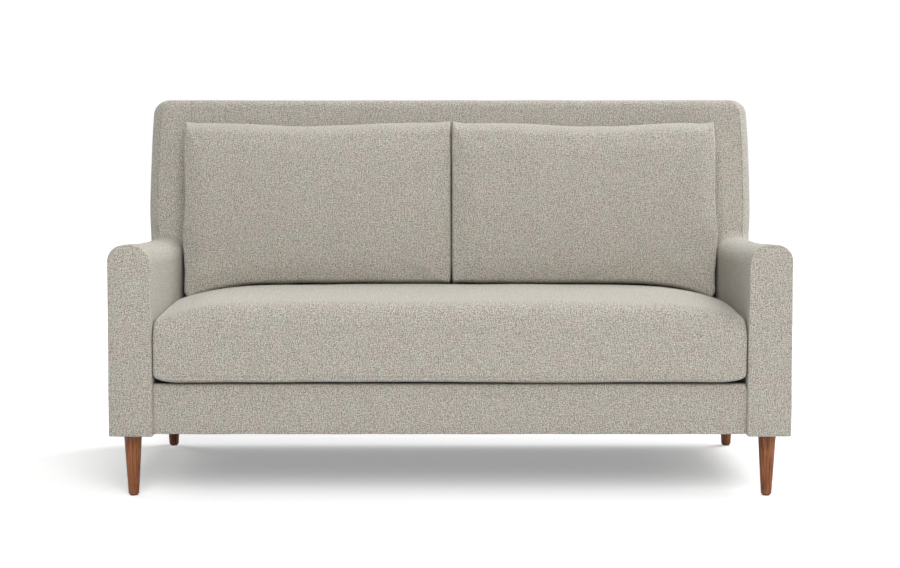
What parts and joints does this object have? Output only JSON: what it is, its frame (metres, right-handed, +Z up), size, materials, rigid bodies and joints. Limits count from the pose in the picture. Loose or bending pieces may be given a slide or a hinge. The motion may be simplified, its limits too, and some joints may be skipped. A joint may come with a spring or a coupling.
{
  "type": "high back settee",
  "caption": "High back settee with a bench seat cushion, loose back cushions, padded arms that rise into wings, sprung timber frame and tapered round wooden legs.",
  "frame": {"origin": "on the floor, in the middle of the footprint between the arms' outsides and between the arm fronts and the top of the outside back", "axes": "+X along the seat, towards the right as seen from the front; the front faces -Y, +Y is the back; +Z is up"},
  "size_m": [1.7, 0.86, 1],
  "materials": {
    "upholstery": "heathered plain-weave upholstery cloth, warm grey beige, matt",
    "leg_wood": "brown stained hardwood, satin lacquer",
    "frame_timber": "sawn, unfinished",
    "steel": "plain",
    "webbing": "woven elastic",
    "foam": "polyurethane foam with a polyester fibre wrap",
    "lining": "non-woven lining cloth",
    "glide": "matt"
  },
  "bodies": {
    "root": {"front_rail": "frame_timber", "rear_spring_rail": "frame_timber", "base_rear_rail": "frame_timber", "side_rail_left": "frame_timber", "side_rail_right": "frame_timber", "seat_stretchers": "frame_timber", "glue_blocks": "frame_timber", "leg_blocks": "frame_timber", "arm_front_post_left": "frame_timber", "arm_front_post_right": "frame_timber", "arm_top_rail_left": "frame_timber", "arm_top_rail_right": "frame_timber", "back_post_left": "frame_timber", "back_post_right": "frame_timber", "back_top_rail": "frame_timber", "back_lower_rail": "frame_timber", "back_uprights": "frame_timber", "springs_left_bay": "steel", "springs_middle_bay": "steel", "springs_right_bay": "steel", "spring_clips": "steel", "spring_tie_wires": "steel", "back_webbing": "webbing", "deck_pad": "foam", "deck_cloth": "lining", "front_rail_cover": "upholstery", "arm_cover_left": "upholstery", "arm_cover_right": "upholstery", "inside_back_cover": "upholstery", "outside_back_panel": "upholstery", "dust_cloth": "lining", "leg_plates": "steel", "hanger_bolts": "steel", "leg_front_left": "leg_wood", "leg_front_right": "leg_wood", "leg_rear_left": "leg_wood", "leg_rear_right": "leg_wood", "leg_glides": "glide"},
    "seat_cushion": {"seat_cushion_cover": "upholstery", "seat_cushion_core": "foam"},
    "back_cushion_left": {"back_cushion_cover_left": "upholstery", "back_cushion_core_left": "foam"},
    "back_cushion_right": {"back_cushion_cover_right": "upholstery", "back_cushion_core_right": "foam"}
  },
  "joints": [
    {"name": "seat_cushion_pull", "type": "slide", "parent": "root", "child": "seat_cushion", "axis": [0, -1, 0], "range_m": [0, 0.4]},
    {"name": "back_cushion_left_lift", "type": "slide", "parent": "root", "child": "back_cushion_left", "axis": [0, 0.2215, 0.9751], "range_m": [0, 0.5]},
    {"name": "back_cushion_right_lift", "type": "slide", "parent": "root", "child": "back_cushion_right", "axis": [0, 0.2215, 0.9751], "range_m": [0, 0.5]}
  ]
}
